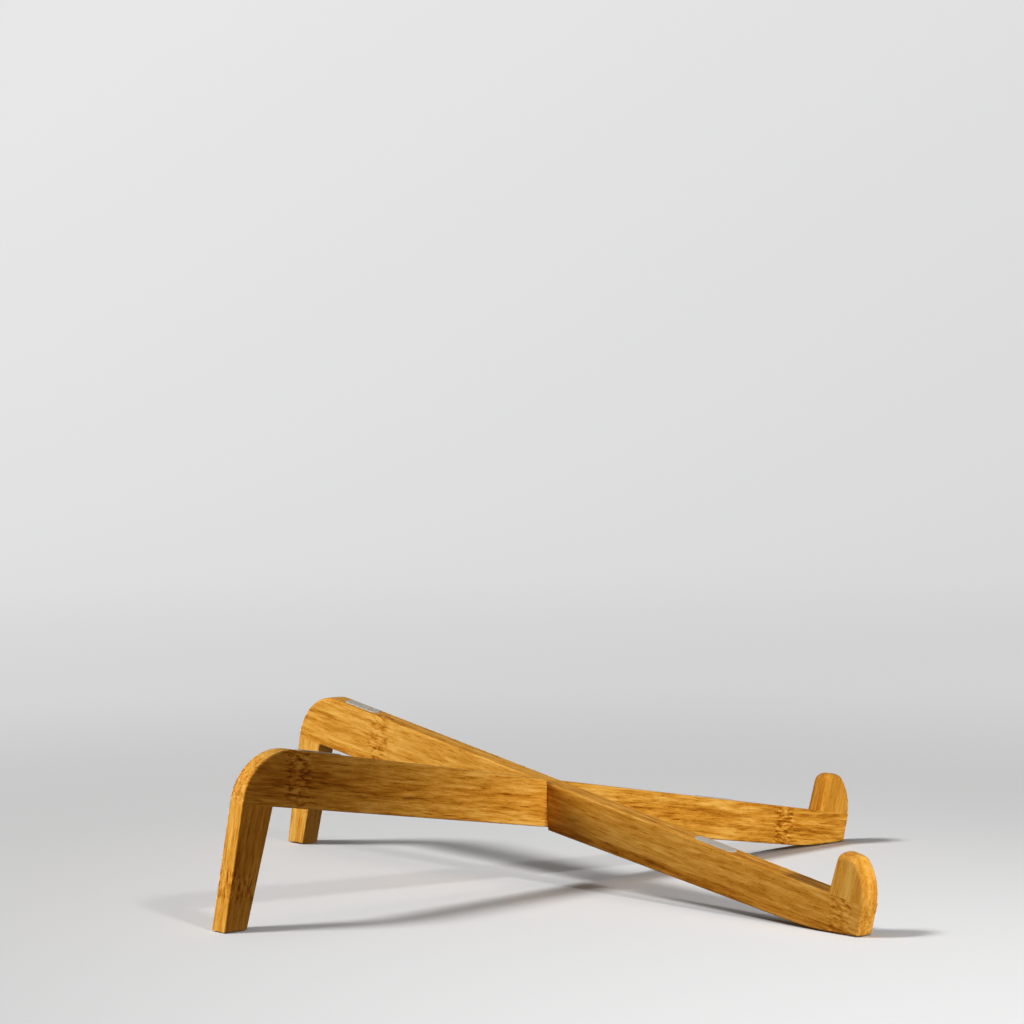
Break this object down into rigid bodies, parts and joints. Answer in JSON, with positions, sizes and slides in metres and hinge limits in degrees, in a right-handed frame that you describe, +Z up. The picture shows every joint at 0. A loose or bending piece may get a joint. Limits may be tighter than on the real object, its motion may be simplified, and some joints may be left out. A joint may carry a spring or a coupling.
{
  "type": "laptop stand",
  "caption": "Take-apart bamboo stand: crossed upright bars in a half-lap joint, with rear legs and front hooks that hold an open laptop at a tilt.",
  "frame": {"origin": "on the table, under the middle of the whole stand", "axes": "+X to the front, where the hooks are; +Z up; +Y to the left for someone behind the stand who looks towards +X"},
  "size_m": [0.2382, 0.236, 0.0635],
  "materials": {
    "bamboo": "satin lacquer on laminated bamboo",
    "dowel_wood": "plain turned rod",
    "silicone": "soft matt, milky"
  },
  "bodies": {
    "lower_bar": {"lower_beam": "bamboo", "lower_leg": "bamboo", "lower_hook": "bamboo", "lower_leg_dowel": "dowel_wood", "lower_hook_dowel": "dowel_wood", "lower_rear_rest_pad": "silicone", "lower_front_rest_pad": "silicone", "lower_rear_foot_pad": "silicone", "lower_front_foot_pad": "silicone"},
    "upper_bar": {"upper_beam": "bamboo", "upper_leg": "bamboo", "upper_hook": "bamboo", "upper_leg_dowel": "dowel_wood", "upper_hook_dowel": "dowel_wood", "upper_rear_rest_pad": "silicone", "upper_front_rest_pad": "silicone", "upper_rear_foot_pad": "silicone", "upper_front_foot_pad": "silicone"}
  },
  "joints": [
    {"name": "upper_bar_lift", "type": "slide", "parent": "lower_bar", "child": "upper_bar", "axis": [0, 0, 1], "range_m": [0, 0.08]}
  ]
}
